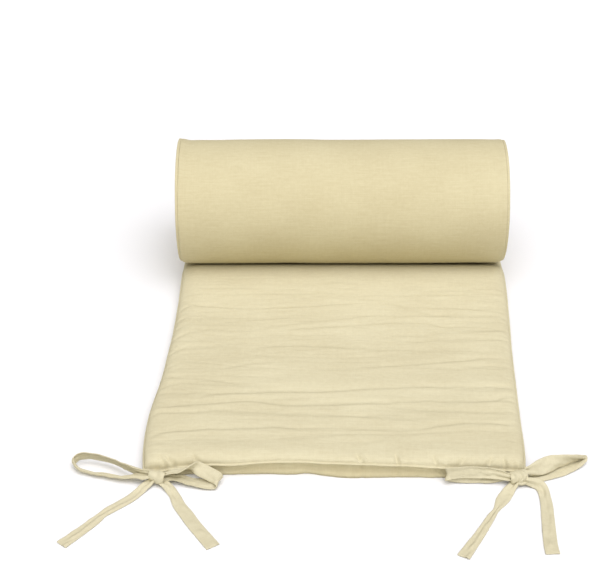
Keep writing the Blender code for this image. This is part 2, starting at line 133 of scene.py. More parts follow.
# The padded panel. Lengths in metres, those of the creases and gathers in millimetres.
pad = {
    "length": 1.20,              # cut length, from the front seam to the end inside the roll
    "flatLength": 0.3145,        # front seam to the foot of the roll
    "flatThick": 0.0180,
    "crown": 0.0010,             # how much thicker the padding is in the middle of the width
    "rise": 0.0030,              # how much the upper face climbs towards the roll
    "riseFrom": 0.195,
    "riseTo": 0.272,
    "wedgeSoftness": 0.0010,     # how softly the upper face dips where the roll presses on it
    "topRounding": 0.0110,       # how far in from the seam the upper face is full
    "topFullness": 2.3,
    "sideSoftness": 0.7,         # how much wider the rounding of the side seams is near the roll
    "softFrom": 0.16,
    "softReach": 0.10,
    "underRounding": 0.0034,
    "underFullness": 1.5,
    "bulgeOut": 0.0007,          # how far the padding swells out over the seam
    "underBulgeOut": 0.0014,
    # the seam: the share of the thickness at which it runs, and the pressed lip that stands out all round
    "seamShare": 0.54,
    "seamWave": 0.0005,
    "lipWide": 0.0017,
    "lipUnder": 0.0012,          # how much further back the lower wall starts under it
    "lipHalf": 0.00060,          # half its thickness
    "lipRounding": 0.0006,
    # the roll
    "rollRadius": 0.0660,
    "rollPitch": 0.0120,
    "layerGap": 0.0006,
    "rollAxisY": 0.151,
    "rollRounding": 0.0075,
    "rollSeamShare": 0.30,       # the seam runs nearer to the outer face there
    "seamShift": 0.5,            # the turn over which it gets there, in radians
    "rollEndDroop": 0.0006,      # how much further in the outer face lies at the roll's two ends
    "droopReach": 0.026,
    # depth, swellings a metre over the width and along, seed
    "rollUneven": ((0.00045, 16, 11, 41), (0.00012, 60, 45, 42)),
    "rollLift": 0.0014,          # how much the outer turn stands off at the roll's top
    "rollFlare": (0.0052, 0.0024),  # how far the seam stands up at the left and right end of the top
    "flareReach": 0.014,         # how far in from the side it does so
    "liftAngle": 3.4,            # the turn in radians where both are greatest, and how they fade
    "liftReach": 1.1,
    "liftEnd": 4.4,
    "liftFade": 1.0,
    # the lower wall of the flat stretch: share of the way down, how far forward of its foot line
    "underWall": (
        (0.0, 0.0), (0.08, -0.0009), (0.25, -0.0019), (0.5, -0.0008), (0.8, 0.0008), (1.0, 0.0011)),
    "underFade": 0.034,          # how far in under the panel the cloth is still drawn forward
    "cornerRounding": 0.005,     # how far from a corner the walls have their full shape
    "sideWallReach": 0.06,       # how far in from the side and the front seam a wall shifts the cloth
    "frontWallReach": 0.08,
    "wallEnd": 0.030,            # how far in front of the roll the side walls end
    "wallFade": 0.030,
    # mesh steps
    "flatStep": 0.00115,
    "coveredStep": 0.0030,
    "rollStep": 0.0044,
    "coreStep": 0.0062,
    "columnStep": 0.0026,
    "gatherStep": 0.0008,        # the finer step beside the deep gathers of the front seam
    "gatherReach": 0.0042,       # how near to one it is used
    "deepGather": 2.5,           # a gather is deep from here, in millimetres
    "edgeSteps": (
        0, 0.0003, 0.0006, 0.0012, 0.0014, 0.0018, 0.0023, 0.0028, 0.0034, 0.0041, 0.0049, 0.0060, 0.0074,
        0.0092, 0.0112, 0.0132),
    # what lies on the floor or inside the roll has few faces
    "hiddenShare": 0.04,         # the share of its faces that is kept
    "seamMargin": 0.016,         # but all of them this near to a seam
    "turnMargin": 0.012,         # and to where the under face leaves the floor or the outer turn ends
    "footMargin": 0.002,         # the upper face is hidden from this far in front of the roll's foot
    # distance along the panel, left x, right x
    "sides": (
        (0.000, -0.1660, 0.1372), (0.020, -0.1674, 0.1388), (0.060, -0.1668, 0.1402),
        (0.110, -0.1606, 0.1420), (0.165, -0.1556, 0.1445), (0.220, -0.1528, 0.1478),
        (0.275, -0.1518, 0.1500), (0.315, -0.1512, 0.1500), (0.420, -0.1530, 0.1490),
        (0.620, -0.1530, 0.1484), (0.670, -0.1512, 0.1490), (0.800, -0.1520, 0.1480),
        (1.000, -0.1505, 0.1495), (1.200, -0.1515, 0.1480)),
    # share of the width, how far back the front seam lies from a straight line
    "front": (
        (0.00, -0.0022), (0.05, -0.0026), (0.10, -0.0006), (0.15, 0.0005), (0.25, -0.0002),
        (0.33, 0.0010), (0.49, -0.0004), (0.55, -0.0014), (0.62, -0.0023), (0.70, -0.0030),
        (0.77, -0.0033), (0.92, -0.0036), (1.00, -0.0036)),
    "frontFade": 0.120,          # how far back from the seam that is still felt
    # share of the width, how far the tie pulls the seam down there
    "seamDrop": (
        (0.00, 0.0026), (0.05, 0.0028), (0.10, 0.0010), (0.15, 0.0000), (0.86, 0.0000), (0.93, 0.0014),
        (1.00, 0.0018)),
    "dropReach": 0.016,          # and how far back from the seam
    # share of the width, how much further forward the foot of the lower wall lies there
    "foot": (
        (0.00, -0.0010), (0.18, -0.0004), (0.25, -0.0013), (0.33, -0.0006), (0.40, -0.0004),
        (0.425, -0.0020), (0.47, 0.0006), (0.53, 0.0032), (0.61, 0.0018), (0.67, 0.0008),
        (0.80, 0.0008), (1.00, 0.0000)),
    "footWaves": ((0.0007, 0.021), (0.0003, 0.006)),  # depth, spacing
    # depth, half width, then the places that the crease passes
    "creases": (
        (0.50, 1.7, (-150, 60), (-132, 54), (-118, 51), (-86, 48), (-50, 49), (-14, 53), (17, 56)),
        (0.37, 2.1, (36, 56), (53, 50), (73, 40), (95, 37), (146, 38)),
        (0.22, 1.8, (51, 51), (107, 48), (145, 50)),
        (0.25, 1.9, (-150, 6), (-125, 15), (-88, 13), (-68, 17), (-30, 27), (1, 32), (28, 38)),
        (0.37, 1.9, (-59, 14), (-28, 17), (1, 21), (41, 25), (65, 26), (93, 18), (146, 14)),
        (0.28, 1.9, (46, -5), (81, -1), (110, 1), (146, 0)),
        (0.28, 2.1, (-87, -14), (-59, -9), (-31, -10), (15, -14), (54, -16), (91, -16), (142, -20)),
        (0.37, 1.8, (-114, -44), (-103, -41), (-86, -37), (-58, -34)),
        (0.46, 1.8, (6, -43), (27, -41), (44, -38), (68, -35), (89, -32), (111, -28), (136, -27)),
        (0.28, 1.8, (95, -43), (117, -39), (140, -35)),
        (0.28, 1.9, (-158, -54), (-141, -56), (-113, -59), (-88, -66)),
        (0.59, 2.0, (-126, -81), (-106, -78), (-85, -77), (-58, -75), (-8, -74), (13, -71), (38, -69),
         (76, -69), (107, -68), (142, -70)),
        (0.56, 1.9, (-160, -97), (-132, -93), (-105, -90), (-81, -89), (-58, -93), (-29, -94),
         (-2, -93), (23, -91), (66, -88), (93, -89), (116, -87), (136, -81)),
        (0.40, 2.0, (-162, -104), (-128, -103), (-105, -101), (-80, -103), (-58, -105), (2, -109),
         (28, -111), (60, -115)),
        (0.25, 1.9, (25, -95), (53, -100), (84, -102), (118, -104), (140, -106)),
        (0.59, 1.9, (-165, -136), (-150, -129), (-122, -126), (-94, -125), (-74, -124), (-45, -124),
         (-9, -125), (43, -127), (62, -125), (70, -122), (82, -119), (103, -117), (134, -121)),
        (0.37, 1.8, (-64, -138), (-41, -137), (11, -132), (37, -133), (67, -130), (92, -127),
         (112, -127), (138, -131)),
        (0.22, 1.8, (-120, -144), (-83, -141)),
        (0.19, 1.6, (-2, -162), (30, -160), (68, -158)),
        (0.19, 1.8, (-29, -45), (-3, -46), (16, -43)),
    ),
    "creaseFade": 14.0,          # how far from its end a crease has its full depth
    "creaseDepth": 1.30,         # times the depths and half widths above
    "creaseWidth": 0.88,
    "creaseFrom": 0.040,         # how far in front of the roll the creases begin
    "creaseGrow": 0.030,         # and over what length they come to their full depth
    # the many small wrinkles between them, every third one near a side seam
    "smallCreases": {
        "count": 190, "x": (-160, 142), "y": (-158, 92), "half": (14, 52),
        "sides": (-148, 131), "besideSides": (-12, 12), "sideHalf": (8, 26),
        "slope": (-0.09, 0.11), "bow": (-1.5, 1.5), "depth": (0.08, 0.30), "halfWidth": (1.0, 1.7)},
    # reach along x, spacing, depth, half width, seed
    "hairCreases": (
        (64, 8.0, 0.24, 1.1, 51), (30, 4.4, 0.17, 0.9, 61), (110, 15.0, 0.26, 1.4, 71)),
    # gathers over the front seam: x at the seam, lean to the right going back, reach, depth, half width
    "frontGathers": (
        (-155, 0.3, 8, 2.6, 1.5), (-148, -0.55, 10, 4.2, 1.7), (-141, -0.9, 10, 3.6, 1.5),
        (-122, -0.65, 9, 3.2, 1.5), (-108, 0.4, 7, 0.9, 1.7), (-90, 0.3, 7, 1.0, 1.6),
        (-62, -0.3, 7, 1.2, 1.7), (-38, 0.2, 8, 1.2, 1.5), (-14, -0.4, 8, 1.5, 1.6),
        (8, -0.65, 10, 4.0, 1.6), (16, -0.9, 8, 2.2, 1.4), (36, -0.25, 9, 4.0, 1.6),
        (42, 0.5, 7, 2.2, 1.4), (53, -0.2, 7, 1.5, 1.4), (67, -0.5, 9, 3.8, 1.6),
        (72, 0.7, 8, 2.2, 1.4), (84, 0.7, 10, 3.2, 1.5), (96, -0.2, 8, 2.2, 1.5),
        (106, 0.7, 10, 3.6, 1.5), (114, 0.2, 8, 2.4, 1.4), (121, -0.3, 9, 3.2, 1.4),
        (128, -0.4, 8, 3.0, 1.4), (134, 0.2, 8, 2.6, 1.4)),
    "gatherDepth": 1.4,          # times the depths above
    "deepest": 0.0040,           # and where they level out, in metres
    "seamPull": 0.00030,         # how far the seam is drawn back, for each millimetre of a gather's depth
    "pullBackReach": 0.010,      # how far in from the seam that is still felt
    "seamPullDown": 0.8,         # the share of the pull that also goes down
    "pullDownReach": 0.007,
    # the same along the two side seams: distance from the front seam, lean, reach, depth, half width
    "leftGathers": (
        (38, 0.30, 12, 0.9, 1.6), (56, 0.45, 15, 1.2, 1.7), (70, 0.20, 10, 0.8, 1.5),
        (92, 0.55, 17, 1.3, 1.8), (120, 0.60, 18, 1.5, 1.8), (141, 0.75, 20, 2.0, 2.0),
        (153, 0.30, 12, 1.0, 1.5), (162, 0.85, 20, 1.9, 1.9), (178, 0.70, 16, 1.6, 1.8),
        (192, 0.60, 15, 1.8, 1.8), (207, 0.80, 18, 1.5, 1.8), (228, -0.30, 14, 0.9, 1.6)),
    "rightGathers": (
        (22, 0.30, 14, 1.0, 1.6), (41, -0.20, 9, 0.6, 1.5), (60, 0.35, 12, 0.9, 1.6),
        (83, 0.15, 10, 0.8, 1.5), (104, 0.40, 14, 1.0, 1.7), (129, 0.10, 9, 0.7, 1.5),
        (150, 0.35, 13, 0.9, 1.6), (171, -0.25, 10, 0.8, 1.5), (196, 0.30, 13, 0.9, 1.7),
        (222, 0.10, 10, 0.7, 1.6)),
    "sideGatherDepth": 0.55,     # times the depths of both
}
pad["frontY"] = pad["rollAxisY"] - pad["flatLength"]
pad["layerThick"] = pad["rollPitch"] - pad["layerGap"]


def rollRadius(angle):
    return pad["rollRadius"] - pad["rollPitch"] * angle / math.tau


def rollAngle(along):
    middle = pad["rollRadius"] - pad["rollPitch"] / 2
    tightening = pad["rollPitch"] / math.tau
    wound = np.maximum(along - pad["flatLength"], 0.0)
    return (middle - np.sqrt(middle ** 2 - 2 * tightening * wound)) / tightening


def roomUnderRoll(ahead):
    # height free under the roll, a distance in front of its axis
    radius = np.full_like(ahead, rollRadius(math.tau))
    for _ in range(4):
        backAngle = np.arcsin(np.clip(ahead / radius, 0.0, 1.0))
        radius = rollRadius(math.tau - backAngle)
    room = pad["rollRadius"] - radius * np.cos(backAngle) - pad["layerGap"]
    return np.where(ahead >= rollRadius(math.tau), 1.0, room)


def swelling(distance, rounding, fullness):
    short = np.clip(1.0 - distance / rounding, 0.0, 1.0)
    return (1.0 - short ** fullness) ** (1.0 / fullness)


def creaseRelief(x, y):
    # height of the folds of the flat stretch, x and y in millimetres
    relief = np.zeros_like(x)

    def addCrease(depth, halfWidth, places):
        # the cloth dips gently, then stands up steeply on the side of the front edge
        lineY = readTable(places, x)[0] + 0.9 * unevenness(x / 13, y * 0 + depth * 37, 9)
        ends = ease((x - places[0][0]) / pad["creaseFade"]) * ease((places[-1][0] - x) / pad["creaseFade"])
        nearer = lineY - y
        dip = bump(nearer, np.where(nearer < 0, 2.3, 1.05) * halfWidth)
        shoulder = bump(nearer - 2.3 * halfWidth, np.where(nearer < 2.3 * halfWidth, 1.2, 2.8) * halfWidth)
        patchy = 0.8 + 0.45 * unevenness(x / 30 + depth * 40, y / 60, 5)
        return depth * ends * patchy * (0.75 * shoulder - dip)

    for crease in pad["creases"]:
        relief += addCrease(crease[0] * pad["creaseDepth"], crease[1] * pad["creaseWidth"], crease[2:])
    small = pad["smallCreases"]
    random = np.random.default_rng(11)
    for index in range(small["count"]):
        middle = random.uniform(*small["x"])
        half = random.uniform(*small["half"])
        if index % 3 == 0:
            middle = random.choice(small["sides"]) + random.uniform(*small["besideSides"])
            half = random.uniform(*small["sideHalf"])
        middleY = random.uniform(*small["y"])
        rise = random.uniform(*small["slope"]) * half
        bow = random.uniform(*small["bow"])
        places = ((middle - half, middleY - rise), (middle, middleY + bow), (middle + half, middleY + rise))
        relief += addCrease(random.uniform(*small["depth"]), random.uniform(*small["halfWidth"]), places)
    # hair creases, where a stretched unevenness crosses zero
    for reach, spacing, depth, halfWidth, seed in pad["hairCreases"]:
        wander = 0.5 * spacing * unevenness(x / (0.7 * reach), y / (5 * spacing), seed + 1)
        level = unevenness(x / reach, (y + wander) / spacing, seed)
        slope = (unevenness(x / reach, (y + wander) / spacing + 0.05, seed) - level) / (0.05 * spacing)
        strength = np.clip(0.45 + 0.9 * unevenness(x / 45, y / 32, seed + 2), 0, 1.3)
        relief -= depth * strength * bump(level / (np.abs(slope) + 0.02), halfWidth)
    relief += 0.50 * unevenness(x / 52, y / 19, 3) + 0.22 * unevenness(x / 30 + y / 70, y / 8, 7)
    return relief * mm


def gatherRelief(x, fromSeam, lines):
    # gathers that run in from the seam, x and the distance from the seam in millimetres
    relief = np.zeros_like(x)
    for start, lean, reach, depth, halfWidth in lines:
        beside = (x - start - lean * fromSeam) / math.hypot(1.0, lean)
        length = bump(fromSeam - 0.22 * reach, 0.46 * reach)
        notch = (1 + (beside / (0.85 * halfWidth)) ** 2) ** -1.5
        relief -= depth * length * (notch - 0.34 * bump(beside - 1.9 * halfWidth, 1.3 * halfWidth)
                                    - 0.26 * bump(beside + 1.9 * halfWidth, 1.3 * halfWidth))
    return relief * mm


def wallForward(inward):
    # how far the lower wall of the flat stretch is drawn out from under the seam
    down = np.clip(inward / pad["underRounding"], 0.0, 1.0)
    drawn = np.minimum(inward, pad["underRounding"]) + readTable(pad["underWall"], down)[0]
    return drawn * (1 - ease((inward - pad["underRounding"]) / pad["underFade"])), down


def padPoints(along, share, upper):
    left, right = readTable(pad["sides"], along)
    width = right - left
    x = left + width * share
    angle = rollAngle(along)
    onRoll = along > pad["flatLength"]
    fromSide = np.minimum(share, 1 - share) * width
    fromEnd = np.minimum(along, pad["length"] - along)
    wander = readTable(pad["front"], share)[0] * (1 - ease(along / pad["frontFade"]))
    pulled = sum(line[3] * bump(x / mm - line[0], 1.3 * line[4]) for line in pad["frontGathers"])
    y = pad["frontY"] + along + wander
    y = y + pad["seamPull"] * pulled * (1 - ease(along / pad["pullBackReach"]))

    full = pad["flatThick"] + pad["crown"] * (1 - (2 * share - 1) ** 2)
    full += pad["rise"] * ease((along - pad["riseFrom"]) / (pad["riseTo"] - pad["riseFrom"]))
    room = roomUnderRoll(np.maximum(pad["flatLength"] - along, 0.0))
    softness = pad["wedgeSoftness"]
    wedge = np.exp(-full / softness) + np.exp(-np.minimum(room, 0.05) / softness)
    full = np.where(onRoll, pad["layerThick"], -softness * np.log(wedge))
    seamWave = pad["seamWave"] * unevenness(along * 55, share * 9, 21)
    seamWave += pad["seamWave"] * unevenness(share * 17, along * 31, 22)
    turned = ease(angle / pad["seamShift"])
    seam = (pad["seamShare"] + turned * (pad["rollSeamShare"] - pad["seamShare"])) * full + seamWave
    seam -= readTable(pad["seamDrop"], share)[0] * (1 - ease(along / pad["dropReach"]))
    pulledDown = pad["seamPullDown"] * pad["seamPull"] * pulled
    seam -= pulledDown * (1 - ease(along / pad["pullDownReach"]))
    lip = pad["lipHalf"] * np.sqrt(1 - (1 - np.clip(fromSide / pad["lipRounding"], 0, 1)) ** 2) * np.sqrt(
        1 - (1 - np.clip(fromEnd / pad["lipRounding"], 0, 1)) ** 2)
    lipRoot = pad["lipWide"] + (0 if upper else pad["lipUnder"])
    sideIn = np.maximum(fromSide - lipRoot, 0.0)
    endIn = np.maximum(fromEnd - lipRoot, 0.0)

    if upper:
        wider = pad["sideSoftness"] * ease((along - pad["softFrom"]) / pad["softReach"])
        wider = 1 + wider * (fromSide < fromEnd)
        rounding = np.where(onRoll, pad["rollRounding"], pad["topRounding"] * wider)
        fullness = pad["topFullness"]
        swell = swelling(sideIn, rounding, fullness) * swelling(endIn, rounding, fullness)
        height = seam + lip + (full - seam - lip) * swell
        slack = ~onRoll * ease((pad["flatLength"] - along - pad["creaseFrom"]) / pad["creaseGrow"])
        height += slack * swell ** 2 * creaseRelief(x / mm, y / mm)
        gathers = gatherRelief(x / mm, along / mm, pad["frontGathers"])
        gathers = pad["deepest"] * np.tanh(gathers / pad["deepest"] * pad["gatherDepth"])
        for inward, lines in ((share, pad["leftGathers"]), (1 - share, pad["rightGathers"])):
            gathers += pad["sideGatherDepth"] * gatherRelief(along / mm, inward * width / mm, lines)
        height += slack * swell * gathers
    else:
        rounding = pad["underRounding"]
        fullness = pad["underFullness"]
        swell = swelling(sideIn, rounding, fullness) * swelling(endIn, rounding, fullness)
        height = seam - lip - (seam - lip) * swell
        # the wound outer face: a little soft at its ends and not quite even
        droop = pad["rollEndDroop"] * (1 - ease(fromSide / pad["droopReach"])) ** 2
        uneven = sum(depth * (unevenness(x * across, along * lengthways, seed) + 1)
                     for depth, across, lengthways, seed in pad["rollUneven"])
        height += turned * swell * (droop + uneven)
    swellOut = (pad["bulgeOut"] if upper else pad["underBulgeOut"]) * 4 * swell * (1 - swell)
    sideways = np.where(fromSide < fromEnd, np.sign(share - 0.5) * swellOut, 0.0)
    forward = np.where((fromEnd <= fromSide) & (along < 0.1), swellOut, 0.0)
    if not upper:
        lying = ease((pad["flatLength"] - pad["wallEnd"] - along) / pad["wallFade"])
        outward = wallForward(sideIn)[0]
        outward *= lying * ease(endIn / pad["cornerRounding"]) * np.sign(share - 0.5)
        sideways = np.where(fromSide < pad["sideWallReach"], sideways + outward, sideways)
        drawn, down = wallForward(endIn)
        (longDepth, longSpacing), (shortDepth, shortSpacing) = pad["footWaves"]
        soft = longDepth * unevenness(x / longSpacing, along * 0 + 3, 24)
        soft += shortDepth * unevenness(x / shortSpacing, along * 60, 25)
        foot = down * (readTable(pad["foot"], share)[0] + soft)
        foot *= 1 - ease((endIn - pad["underRounding"]) / pad["underFade"])
        drawn = (drawn + foot) * ease(sideIn / pad["cornerRounding"])
        forward = np.where(along < pad["frontWallReach"], drawn, forward)

    flare = np.where(share < 0.5, *pad["rollFlare"]) * (1 - ease(fromSide / pad["flareReach"])) ** 2
    flare = (pad["rollLift"] + flare) * bump(angle - pad["liftAngle"], pad["liftReach"])
    flare *= 1 - ease((angle - pad["liftEnd"]) / pad["liftFade"])
    radius = rollRadius(angle) - height + flare
    return np.stack([
        x + sideways,
        np.where(onRoll, pad["rollAxisY"] + radius * np.sin(angle), y - forward),
        np.where(onRoll, pad["rollRadius"] - radius * np.cos(angle), np.maximum(height, 0.0))], axis=1)


def stepsBetween(start, end, step):
    count = max(round((end - start) / step), 1)
    return [start + (end - start) * index / count for index in range(1, count + 1)]


def columnPlaces(start, end):
    # closer together where a deep gather leaves the front seam
    leftX = pad["sides"][0][1]
    gathers = [line[0] * mm - leftX for line in pad["frontGathers"] if line[3] > pad["deepGather"]]
    places = [start]
    while places[-1] < end:
        near = min(abs(places[-1] + pad["gatherStep"] - gather) for gather in gathers) < pad["gatherReach"]
        places.append(places[-1] + (pad["gatherStep"] if near else pad["columnStep"]))
    stretch = (end - start) / (places[-1] - start)
    return [start + (place - start) * stretch for place in places[1:]]


def thin(piece, hidden, ratio):
    makeActive(piece)
    piece.data.vertices.foreach_set("select", hidden)
    ends = np.zeros(len(piece.data.edges) * 2, dtype=int)
    piece.data.edges.foreach_get("vertices", ends)
    piece.data.edges.foreach_set("select", hidden[ends.reshape(-1, 2)].all(axis=1))
    picked = np.zeros(len(piece.data.polygons), dtype=bool)
    for index, polygon in enumerate(piece.data.polygons):
        picked[index] = hidden[list(polygon.vertices)].all()
    piece.data.polygons.foreach_set("select", picked)
    bpy.ops.object.mode_set(mode="EDIT")
    bpy.ops.mesh.decimate(ratio=ratio)
    bpy.ops.object.mode_set(mode="OBJECT")


def makePad():
    edge = list(pad["edgeSteps"])
    windingEnd = pad["length"] - edge[-1]
    outerTurn = pad["flatLength"] + math.tau * (pad["rollRadius"] - pad["rollPitch"])
    rows = edge + stepsBetween(edge[-1], pad["riseTo"], pad["flatStep"])
    rows += stepsBetween(pad["riseTo"], pad["flatLength"], pad["coveredStep"])
    rows += stepsBetween(pad["flatLength"], outerTurn, pad["rollStep"])
    rows += stepsBetween(outerTurn, windingEnd, pad["coreStep"])
    rows += [pad["length"] - step for step in reversed(edge[:-1])]
    width = pad["sides"][0][2] - pad["sides"][0][1]
    columns = edge + columnPlaces(edge[-1], width - edge[-1])
    columns += [width - step for step in reversed(edge[:-1])]
    rows, columns = np.array(rows), np.array(columns) / width

    faces = []
    for upper in (True, False):
        face, column, row = addGrid("bumperPad" if upper else "bumperPadUnder", len(columns), len(rows))
        along, share = rows[row], columns[column]
        movePoints(face, padPoints(along, share, upper))
        # the under face is set apart in the cloth map, where its material paints shade on it
        setClothUV(face, share * width, along if upper else along + cotton["underFrom"])
        if not upper:
            makeActive(face)
            bpy.ops.object.mode_set(mode="EDIT")
            bpy.ops.mesh.select_all(action="SELECT")
            bpy.ops.mesh.flip_normals()
            bpy.ops.object.mode_set(mode="OBJECT")
        margin = pad["seamMargin"]
        inside = (np.minimum(share, 1 - share) * width > margin) & (along < pad["length"] - margin)
        hidden = inside & (along > outerTurn + pad["turnMargin"])
        if upper:
            hidden |= inside & (along > pad["flatLength"] - pad["footMargin"])
        else:
            hidden |= inside & (along > margin) & (along < pad["flatLength"] - pad["turnMargin"])
        thin(face, hidden, pad["hiddenShare"])
        faces.append(face)
    makeActive(faces[0])
    faces[1].select_set(True)
    bpy.ops.object.join()
    piece = bpy.context.object
    bpy.ops.object.mode_set(mode="EDIT")
    bpy.ops.mesh.select_all(action="SELECT")
    bpy.ops.mesh.remove_doubles(threshold=mergeWithin)
    bpy.ops.object.mode_set(mode="OBJECT")
    bpy.ops.object.shade_smooth()
    return piece


